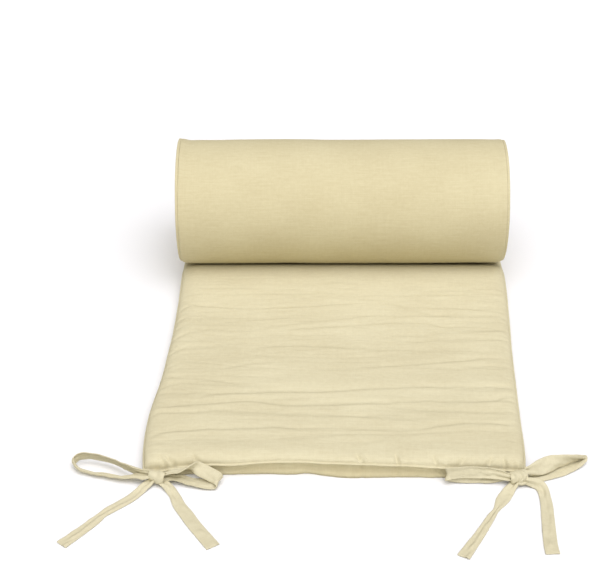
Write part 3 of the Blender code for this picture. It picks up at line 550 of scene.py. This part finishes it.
# The ties. Each strand's rows: x and y from the middle of the knot, z from the floor, how far the strip
# is turned up from lying flat in degrees, its width.
ties = {
    "thick": 0.0008,
    "full": 0.0110,          # width of the cut and folded strip
    "across": 14,            # mesh steps over the width
    "lengthStep": 0.0016,    # mesh step along the strip
    "hem": 0.0006,           # how far the stitched edges stand up
    "pleat": 0.08,           # depth of the pleats of a narrow place, as a share of its width
    "pleatCount": 1.6,       # pleats over the width
    "pleatTurn": 0.027,      # how soon the pleats move over to the other side
    "crumple": 0.00070,
    "crumpleLength": 0.0052,
    "fineLength": 0.0034,
    "crumpledEnd": 0.040,    # length beside the knot where the cloth is crumpled most
    "fold": 0.0005,          # the soft fold along the middle of each strip
    "foldLength": 0.016,
    "wrapSteps": (64, 20),   # mesh steps round a knot and along it
    "coreSteps": (32, 20),       # the same of what the knot holds
    "coreShare": 0.80,       # its size, as a share of the wrap
    "tieLeft": {
        "node": "tie_left",
        "knot": (-0.1546, -0.1718, 0.0068),
        "wraps": (
            {"off": (0.0002, -0.0002, 0.0001), "turn": -14, "tilt": 8, "half": 0.0066,
             "ends": ((0.0032, 0.0036), (0.0052, 0.0060)),
             "pleats": 1.8, "pleatDepth": 0.07, "slant": 1.4},),
        "strands": {
            "outerLoop": (
                (-0.0040, 0.0020, 0.0085, 80, 0.0060), (-0.0129, 0.0036, 0.0090, 72, 0.0084),
                (-0.0215, 0.0082, 0.0086, 66, 0.0108), (-0.0330, 0.0164, 0.0080, 65, 0.0110),
                (-0.0448, 0.0224, 0.0080, 66, 0.0110), (-0.0560, 0.0250, 0.0080, 70, 0.0106),
                (-0.0630, 0.0248, 0.0076, 78, 0.0098), (-0.0666, 0.0226, 0.0066, 94, 0.0088),
                (-0.0674, 0.0188, 0.0054, 114, 0.0078), (-0.0626, 0.0128, 0.0040, 136, 0.0070),
                (-0.0530, 0.0095, 0.0030, 145, 0.0066), (-0.0397, 0.0060, 0.0032, 147, 0.0066),
                (-0.0300, 0.0026, 0.0036, 150, 0.0066), (-0.0250, 0.0018, 0.0042, 156, 0.0070),
                (-0.0187, 0.0016, 0.0056, 164, 0.0076), (-0.0122, 0.0004, 0.0066, 170, 0.0074),
                (-0.0045, -0.0008, 0.0070, 170, 0.0060)),
            "innerLoop": (
                (0.0030, 0.0008, 0.0078, 176, 0.0062), (0.0095, 0.0008, 0.0096, 176, 0.0084),
                (0.0160, 0.0012, 0.0112, 168, 0.0098), (0.0225, 0.0024, 0.0126, 148, 0.0104),
                (0.0280, 0.0042, 0.0130, 116, 0.0108), (0.0312, 0.0050, 0.0122, 70, 0.0110),
                (0.0345, 0.0038, 0.0110, 44, 0.0110), (0.0400, 0.0010, 0.0098, 48, 0.0110),
                (0.0450, -0.0014, 0.0084, 51, 0.0110), (0.0486, -0.0030, 0.0068, 52, 0.0110),
                (0.0492, -0.0034, 0.0040, 196, 0.0110), (0.0460, -0.0034, 0.0022, 172, 0.0110),
                (0.0410, -0.0038, 0.0018, 178, 0.0110), (0.0340, -0.0026, 0.0018, 182, 0.0110),
                (0.0262, -0.0008, 0.0024, 190, 0.0108), (0.0170, 0.0008, 0.0038, 192, 0.0095),
                (0.0095, 0.0002, 0.0048, 186, 0.0072), (0.0030, -0.0014, 0.0054, 170, 0.0055)),
            "outerTail": (
                (-0.0030, -0.0015, 0.0050, 0, 0.0060), (-0.0079, -0.0050, 0.0036, 0, 0.0075),
                (-0.0129, -0.0108, 0.0014, 0, 0.0080), (-0.0196, -0.0190, 0.0007, 0, 0.0086),
                (-0.0338, -0.0322, 0.0007, 0, 0.0081), (-0.0393, -0.0380, 0.0007, 0, 0.0068),
                (-0.0446, -0.0454, 0.0007, 0, 0.0085), (-0.0574, -0.0612, 0.0007, 0, 0.0092),
                (-0.0669, -0.0719, 0.0007, 0, 0.0102)),
            "root": (
                (0.0000, 0.0000, 0.0060, 0, 0.0070), (0.0000, 0.0040, 0.0064, 0, 0.0080),
                (0.0000, 0.0085, 0.0068, 0, 0.0090)),
            "innerTail": (
                (0.0020, -0.0015, 0.0050, 0, 0.0060), (0.0095, -0.0070, 0.0032, 0, 0.0080),
                (0.0149, -0.0152, 0.0010, 0, 0.0085), (0.0195, -0.0270, 0.0007, 0, 0.0100),
                (0.0256, -0.0375, 0.0007, 0, 0.0110), (0.0333, -0.0513, 0.0007, 0, 0.0110),
                (0.0480, -0.0742, 0.0007, 0, 0.0115)),
        },
    },
    "tieRight": {
        "node": "tie_right",
        "knot": (0.1312, -0.1726, 0.0074),
        "wraps": (
            {"off": (-0.0004, 0.0004, -0.0004), "turn": 8, "tilt": -6, "half": 0.0070,
             "ends": ((0.0042, 0.0044), (0.0048, 0.0050)), "pleats": 2.6, "pleatDepth": 0.13, "slant": 3.2},
            {"off": (0.0026, -0.0038, -0.0034), "turn": 12, "tilt": 0, "half": 0.0046,
             "ends": ((0.0020, 0.0022), (0.0020, 0.0020)), "pleats": 0}),  # a tuck with no wrap round it
        "strands": {
            "innerLoop": (
                (-0.0040, -0.0014, 0.0078, 108, 0.0050), (-0.0100, -0.0010, 0.0086, 104, 0.0066),
                (-0.0160, 0.0000, 0.0098, 102, 0.0082), (-0.0260, 0.0010, 0.0108, 101, 0.0098),
                (-0.0360, 0.0013, 0.0111, 101, 0.0106), (-0.0460, 0.0010, 0.0112, 100, 0.0108),
                (-0.0540, 0.0000, 0.0110, 97, 0.0110), (-0.0566, 0.0002, 0.0102, 92, 0.0110),
                (-0.0568, 0.0016, 0.0086, 84, 0.0108), (-0.0545, 0.0026, 0.0068, 72, 0.0102),
                (-0.0485, 0.0025, 0.0054, 66, 0.0096), (-0.0400, 0.0024, 0.0048, 66, 0.0092),
                (-0.0300, 0.0022, 0.0046, 68, 0.0090), (-0.0180, 0.0020, 0.0048, 72, 0.0085),
                (-0.0100, 0.0018, 0.0056, 76, 0.0075), (-0.0040, 0.0016, 0.0064, 78, 0.0060)),
            "outerLoop": (
                (0.0045, 0.0034, 0.0098, 72, 0.0060), (0.0091, 0.0050, 0.0096, 64, 0.0086),
                (0.0175, 0.0088, 0.0096, 58, 0.0128), (0.0261, 0.0138, 0.0092, 58, 0.0132),
                (0.0346, 0.0174, 0.0086, 80, 0.0118), (0.0432, 0.0206, 0.0080, 104, 0.0112),
                (0.0501, 0.0240, 0.0064, 120, 0.0094), (0.0545, 0.0266, 0.0050, 128, 0.0070),
                (0.0562, 0.0274, 0.0036, 86, 0.0052), (0.0548, 0.0266, 0.0024, 34, 0.0072),
                (0.0500, 0.0238, 0.0018, 12, 0.0106), (0.0440, 0.0204, 0.0013, 4, 0.0120),
                (0.0375, 0.0162, 0.0012, 2, 0.0120), (0.0310, 0.0124, 0.0012, 2, 0.0112),
                (0.0232, 0.0090, 0.0015, 4, 0.0100), (0.0165, 0.0062, 0.0020, 8, 0.0090),
                (0.0098, 0.0026, 0.0034, 18, 0.0075), (0.0045, -0.0010, 0.0046, 40, 0.0055)),
            "root": (
                (0.0000, 0.0000, 0.0060, 0, 0.0070), (0.0000, 0.0035, 0.0068, 0, 0.0080),
                (0.0000, 0.0080, 0.0076, 0, 0.0090)),
            "innerTail": (
                (-0.0020, -0.0015, 0.0045, 0, 0.0060), (-0.0063, -0.0062, 0.0030, 0, 0.0080),
                (-0.0101, -0.0118, 0.0012, 0, 0.0100), (-0.0148, -0.0200, 0.0007, 0, 0.0105),
                (-0.0208, -0.0315, 0.0007, 0, 0.0050), (-0.0253, -0.0394, 0.0007, 0, 0.0064),
                (-0.0357, -0.0587, 0.0007, 0, 0.0080), (-0.0508, -0.0845, 0.0007, 0, 0.0105)),
            "outerTail": (
                (0.0020, -0.0015, 0.0062, 60, 0.0050), (0.0060, -0.0034, 0.0056, 74, 0.0062),
                (0.0105, -0.0040, 0.0046, 70, 0.0080), (0.0150, -0.0050, 0.0036, 42, 0.0092),
                (0.0180, -0.0088, 0.0018, 14, 0.0092), (0.0189, -0.0165, 0.0008, 0, 0.0092),
                (0.0190, -0.0262, 0.0007, 0, 0.0097), (0.0178, -0.0436, 0.0007, 0, 0.0102),
                (0.0163, -0.0695, 0.0007, 0, 0.0108), (0.0166, -0.0812, 0.0007, 0, 0.0112)),
        },
    },
}


def smoothRows(table, steps):
    position = np.arange((len(table) - 1) * steps + 1) / steps
    first = np.clip(position.astype(int), 0, len(table) - 2)
    share = (position - first)[:, None]
    before, start = table[np.maximum(first - 1, 0)], table[first]
    end, after = table[first + 1], table[np.minimum(first + 2, len(table) - 1)]
    bend = (2 * before - 5 * start + 4 * end - after) + (3 * start - before - 3 * end + after) * share
    return start + 0.5 * share * ((end - before) + share * bend)


def unit(vectors):
    return vectors / np.linalg.norm(vectors, axis=1)[:, None]


def stripStations(knot, rows):
    # evenly spaced places along a strip: middle, direction over the width, width and length so far
    table = np.array(rows, float)
    middle = table[:, :3] + np.array([knot[0], knot[1], 0.0])
    travel = unit(np.gradient(middle, axis=0))
    level = unit(np.cross([0.0, 0.0, 1.0], travel))
    lean = np.radians(table[:, 3])[:, None]
    sideways = level * np.cos(lean) + np.cross(travel, level) * np.sin(lean)
    for index in range(1, len(sideways)):
        if np.dot(sideways[index], sideways[index - 1]) < 0:
            sideways[index] *= -1
    fine = smoothRows(np.concatenate([middle, sideways, table[:, 4:5]], axis=1), 24)
    length = np.concatenate([[0.0], np.cumsum(np.linalg.norm(np.diff(fine[:, :3], axis=0), axis=1))])
    places = np.linspace(0.0, length[-1], round(length[-1] / ties["lengthStep"]) + 1)
    even = np.stack([np.interp(places, length, column) for column in fine.T], axis=1)
    travel = unit(np.gradient(even[:, :3], axis=0))
    sideways = even[:, 3:6] - travel * np.sum(even[:, 3:6] * travel, axis=1)[:, None]
    return even[:, :3], unit(sideways), travel, even[:, 6], places


def thicken(cloth, offset):
    wall = cloth.modifiers.new("wall", "SOLIDIFY")
    wall.thickness = ties["thick"]
    wall.offset = offset
    softer = cloth.modifiers.new("softer", "SUBSURF")
    softer.levels = softer.render_levels = 1
    applyModifiers(cloth)


def makeStrand(name, knot, rows):
    middle, sideways, travel, width, length = stripStations(knot, rows)
    face = np.cross(sideways, travel)
    steps = ties["across"]
    strip, column, row = addGrid(name, steps + 1, len(middle))
    side = column / steps * 2 - 1
    seed = len(rows) + len(name)
    along, fromEnd = length[row], np.minimum(length, length[-1] - length)[row]
    # the cloth that a narrow place takes up stands in pleats
    spare = np.sqrt(np.maximum((ties["full"] / width) ** 2 - 1, 0.0))
    turning = 0.6 + 1.6 * unevenness(side * 0 + 2, along / ties["pleatTurn"], seed + 4)
    pleats = ties["pleat"] * width[row] * spare[row] * np.cos(side * math.pi * ties["pleatCount"] + turning)
    hem = ties["hem"] * np.abs(side) ** 5
    crumple = ties["crumple"] * unevenness(side * 1.4 + 7, along / ties["crumpleLength"], seed)
    fine = unevenness(side * 2.6 + 3 + along / 0.011, along / ties["fineLength"], seed + 1)
    crumple += 0.5 * ties["crumple"] * fine
    crumple *= 0.7 + 0.8 * (1 - ease(fromEnd / ties["crumpledEnd"]))
    wander = 0.5 * unevenness(side * 0 + 5, along / 0.021, seed + 2)
    crease = ties["fold"] * unevenness(side * 0 + 9, along / ties["foldLength"], seed + 3)
    crease *= bump(side - wander, 0.34)
    points = middle[row] + sideways[row] * (width[row] / 2 * side)[:, None]
    points = points + face[row] * (pleats + hem + crumple + crease)[:, None]
    points[:, 2] = np.maximum(points[:, 2], ties["thick"] * 0.6)
    movePoints(strip, points)
    setClothUV(strip, side * ties["full"] / 2, along)
    thicken(strip, 0.0)
    return strip


def knotFrame(knot, wrap):
    # where a wrap of the knot lies: its middle, the way along its axis, the way to the back and the way up
    turn, tilt = math.radians(wrap["turn"]), math.radians(wrap["tilt"])
    axis = np.array([math.cos(turn) * math.cos(tilt), math.sin(turn) * math.cos(tilt), -math.sin(tilt)])
    back = np.array([-math.sin(turn), math.cos(turn), 0.0])
    return np.array(knot) + np.array(wrap["off"]), axis, back, np.cross(axis, back)


def wrapSize(wrap, share):
    # half depth and half height of a wrap, from its left end to its right end
    (leftDepth, leftHeight), (rightDepth, rightHeight) = wrap["ends"]
    return leftDepth + (rightDepth - leftDepth) * share, leftHeight + (rightHeight - leftHeight) * share


def makeWrap(name, knot, wrap):
    # the strip's turn round the middle of the bow, open at both ends
    middle, axis, back, up = knotFrame(knot, wrap)
    around, across = ties["wrapSteps"]
    band, column, row = addGrid(name, around + 1, across + 1)
    angle = column / around * math.tau
    side = row / across * 2 - 1
    share = (side + 1) / 2
    swell = 1 + 0.10 * (1 - side ** 2) - 0.06 * side ** 6
    twist = wrap["slant"] * np.cos(angle + 0.8) * 2
    pleat = 1 + wrap["pleatDepth"] * np.cos(math.tau * wrap["pleats"] * share + twist)
    crumple = 1 + 0.05 * unevenness(side * 2.5 + 9, np.cos(angle) * 2 + np.sin(angle) + 20, len(name))
    depth, height = (size * swell * pleat * crumple for size in wrapSize(wrap, share))
    points = middle + axis * (side * wrap["half"])[:, None]
    points = points + back * (depth * np.cos(angle))[:, None] + up * (height * np.sin(angle))[:, None]
    points[:, 2] = np.maximum(points[:, 2], ties["thick"] * 0.6)
    movePoints(band, points)
    setClothUV(band, side * wrap["half"], angle * wrap["ends"][0][0])
    makeActive(band)
    bpy.ops.object.mode_set(mode="EDIT")
    bpy.ops.mesh.select_all(action="SELECT")
    bpy.ops.mesh.remove_doubles(threshold=mergeWithin)
    bpy.ops.mesh.normals_make_consistent(inside=False)
    bpy.ops.object.mode_set(mode="OBJECT")
    thicken(band, -1.0)
    return band


def makeCore(name, knot, wrap):
    # the cloth pressed together inside a wrap
    middle, axis, back, up = knotFrame(knot, wrap)
    makeActive(None)
    segments, rings = ties["coreSteps"]
    bpy.ops.mesh.primitive_uv_sphere_add(segments=segments, ring_count=rings, radius=1.0)
    core = bpy.context.object
    core.name = name
    places = np.zeros(len(core.data.vertices) * 3)
    core.data.vertices.foreach_get("co", places)
    places = places.reshape(-1, 3)
    depth, height = (size * ties["coreShare"] for size in wrapSize(wrap, (places[:, 0] + 1) / 2))
    points = middle + axis * (places[:, 0] * wrap["half"] * 0.9)[:, None]
    points = points + back * (places[:, 1] * depth)[:, None] + up * (places[:, 2] * height)[:, None]
    points[:, 2] = np.maximum(points[:, 2], ties["thick"] * 0.3)
    movePoints(core, points)
    setClothUV(core, places[:, 0] * 0.01, places[:, 2] * 0.01)
    return core


def makeTie(name):
    spec = ties[name]
    pieces = [makeStrand(name + strand, spec["knot"], rows) for strand, rows in spec["strands"].items()]
    for index, wrap in enumerate(spec["wraps"]):
        if wrap["pleats"]:
            pieces.append(makeWrap(name + "Wrap" + str(index), spec["knot"], wrap))
        pieces.append(makeCore(name + "Core" + str(index), spec["knot"], wrap))
    makeActive(pieces[0])
    for piece in pieces:
        piece.select_set(True)
    bpy.ops.object.join()
    tie = bpy.context.object
    tie.name = tie.data.name = name
    bpy.ops.object.shade_smooth()
    return tie


class Value:
    # a shader socket that takes part in plain arithmetic
    def __init__(self, nodes, socket):
        self.nodes, self.socket = nodes, socket

    def maths(self, operation, *others):
        return self.nodes.add("ShaderNodeMath", {"operation": operation}, dict(enumerate((self,) + others)))

    def __add__(self, other):
        return self.maths("ADD", other)

    def __rsub__(self, other):
        return (self * -1.0) + other

    def __mul__(self, other):
        return self.maths("MULTIPLY", other)

    def __pow__(self, other):
        return self.maths("POWER", other)


class Nodes:
    # the nodes of a material or of the world
    def __init__(self, owner):
        owner.use_nodes = True
        self.tree = owner.node_tree

    def add(self, kind, settings=None, inputs=None, output=0):
        made = self.tree.nodes.new(kind)
        for key, value in (settings or {}).items():
            setattr(made, key, value)
        for key, value in (inputs or {}).items():
            self.set(made, key, value)
        return Value(self, made.outputs[output])

    def set(self, node, key, value):
        if isinstance(value, Value):
            self.tree.links.new(value.socket, node.inputs[key])
        else:
            node.inputs[key].default_value = value


# The cotton of all the pieces.
cotton = {
    "roughness": 0.9,
    "gloss": 0.25,
    "toneRange": (0.36, 0.62),
    # colour, the deeper colour between the threads, depth of the wrinkles in the bump
    "pad": ((0.614, 0.566, 0.386, 1.0), (0.540, 0.485, 0.316, 1.0), 0.10),
    "tie": ((0.604, 0.558, 0.390, 1.0), (0.536, 0.488, 0.326, 1.0), 0.05),
    # the pad's under face, which makes the roll's outer face and the lower front wall, lies this far along
    # the cloth map from the upper one, and its colour is darkened and yellowed there as painted shade
    "underFrom": 2.0,
    "underMargin": 0.3,          # its tint starts this much sooner, where no cloth lies
    # painted shade: the under face's colour is multiplied by this darker, yellower tint
    "paintedShadeTint": (0.955, 0.935, 0.87, 1.0),
}


def cottonMaterial(name, colour, deepColour, wrinkle):
    material = bpy.data.materials.new(name)
    weave = Nodes(material)
    surface = weave.tree.nodes["Principled BSDF"]
    surface.inputs["Roughness"].default_value = cotton["roughness"]
    surface.inputs["Specular IOR Level"].default_value = cotton["gloss"]
    cloth = weave.add("ShaderNodeUVMap", {"uv_map": "cloth"})

    def threads(across, along, detail=2.0):
        # swellings in a metre over the width and along the cloth
        stretched = weave.add("ShaderNodeMapping", {}, {"Vector": cloth, "Scale": (across, along, 1.0)})
        return weave.add("ShaderNodeTexNoise", {"noise_dimensions": "2D"},
                         {"Vector": stretched, "Scale": 1.0, "Detail": detail, "Roughness": 0.55})

    weft = threads(45.0, 1500.0)
    warp = threads(1300.0, 38.0)
    clouds = threads(14.0, 18.0, 3.0)
    mottle = threads(230.0, 330.0, 3.0)
    grain = threads(1000.0, 1000.0, 2.0)
    tone = weft * 0.26 + warp * 0.10 + clouds * 0.30 + mottle * 0.20 + grain * 0.14
    lowest, highest = cotton["toneRange"]
    shade = weave.add("ShaderNodeMapRange", {}, {"Value": tone, "From Min": lowest, "From Max": highest})
    paint = weave.add("ShaderNodeMix", {"data_type": "RGBA"},
                      {"Factor": shade, 6: deepColour, 7: colour}, output=2)
    # painted shade: the under face (the roll's outer face and the lower front wall) is multiplied by a
    # darker, yellower tint
    along = weave.add("ShaderNodeSeparateXYZ", {}, {0: cloth}, output="Y")
    paintedShadeMask = along.maths("GREATER_THAN", cotton["underFrom"] - cotton["underMargin"])
    paint = weave.add("ShaderNodeMix", {"data_type": "RGBA", "blend_type": "MULTIPLY"},
                      {"Factor": paintedShadeMask, 6: paint, 7: cotton["paintedShadeTint"]}, output=2)
    weave.set(surface, "Base Color", paint)
    finer = threads(38.0, 420.0, 3.0)
    relief = weft * 0.05 + warp * 0.03 + mottle * 0.08 + grain * 0.07 + finer * wrinkle
    normal = weave.add("ShaderNodeBump", {}, {"Strength": 1.0, "Distance": mm, "Height": relief})
    weave.set(surface, "Normal", normal)
    return material


def dress(piece, material, node):
    piece.data.materials.clear()
    piece.data.materials.append(material)
    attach(piece, "root")
    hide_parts(node)


studio = {
    "glowColour": (1.0, 1.0, 1.09, 1.0),
    "ambientColour": (1.0, 0.95, 0.78, 1.0),
    "ambient": 0.38,
    "darkBehind": 0.55,              # how much darker the room is behind the panel than before it
    # the large soft key: the part of the sky round this direction is brighter
    "glow": 5.1,
    "glowFrom": (0.10, -0.37, 0.91),
    "glowTightness": 8.0,
    "floorTone": 0.83,
    "floorSize": 60.0,
    "floorBelow": 0.0003,            # how far the floor lies under the panel
    "floorRoughness": 0.95,
}

# The photo's view. Its frame is 599 x 574 pixels.
view = {
    "place": (-0.0418, -1.145, 0.823),
    "tilt": 56.775,                  # degrees up from looking straight down
    "frameWide": 599.0,              # both in pixels
    "focalLength": 1600.0,
    "sensor": 36.0,
    "nearest": 0.01,
}


def makeStage():
    makeActive(None)
    bpy.ops.mesh.primitive_plane_add(size=studio["floorSize"], location=(0.0, 0.0, -studio["floorBelow"]))
    floor = bpy.context.object
    floor.name = "floor"
    paper = bpy.data.materials.new("paleFloor")
    surface = Nodes(paper).tree.nodes["Principled BSDF"]
    surface.inputs["Base Color"].default_value = (studio["floorTone"],) * 3 + (1.0,)
    surface.inputs["Roughness"].default_value = studio["floorRoughness"]
    floor.data.materials.append(paper)


def makeLight():
    world = bpy.data.worlds.new("studio")
    bpy.context.scene.world = world
    sky = Nodes(world)
    ray = sky.add("ShaderNodeTexCoord")
    keyDirection = Vector(studio["glowFrom"]).normalized()
    facing = sky.add("ShaderNodeVectorMath", {"operation": "DOT_PRODUCT"}, {0: ray, 1: keyDirection},
                     output="Value")
    glow = facing.maths("MAXIMUM", 0.0) ** studio["glowTightness"]
    behind = sky.add("ShaderNodeSeparateXYZ", {}, {0: ray}, output="Y")
    room = sky.tree.nodes["Background"]
    sky.set(room, "Color", studio["ambientColour"])
    sky.set(room, "Strength", (1.0 - behind * studio["darkBehind"]) * studio["ambient"])
    lamp = sky.tree.nodes.new("ShaderNodeBackground")
    sky.set(lamp, "Color", studio["glowColour"])
    sky.set(lamp, "Strength", glow * studio["glow"])
    both = sky.add("ShaderNodeAddShader", {},
                   {0: Value(sky, room.outputs[0]), 1: Value(sky, lamp.outputs[0])})
    sky.set(sky.tree.nodes["World Output"], "Surface", both)
    colours = bpy.context.scene.view_settings
    colours.view_transform = "Standard"
    colours.look = "None"


def makeCamera():
    bpy.ops.object.camera_add(location=view["place"], rotation=(math.radians(view["tilt"]), 0.0, 0.0))
    camera = bpy.context.object
    camera.name = "photoCamera"
    camera.data.sensor_width = view["sensor"]
    camera.data.lens = view["sensor"] * view["focalLength"] / view["frameWide"]
    camera.data.clip_start = view["nearest"]
    bpy.context.scene.camera = camera


makeCamera()
makeLight()
makeStage()
print("camera, light and floor are in place")

padCotton = cottonMaterial("padCotton", *cotton["pad"])
tieCotton = cottonMaterial("tieCotton", *cotton["tie"])

bumperPad = makePad()
dress(bumperPad, padCotton, "pad")
print("panel made:", countTriangles(bumperPad), "triangles")

for tieName in ("tieLeft", "tieRight"):
    tie = makeTie(tieName)
    dress(tie, tieCotton, ties[tieName]["node"])
    print(tieName, "made:", countTriangles(tie), "triangles")
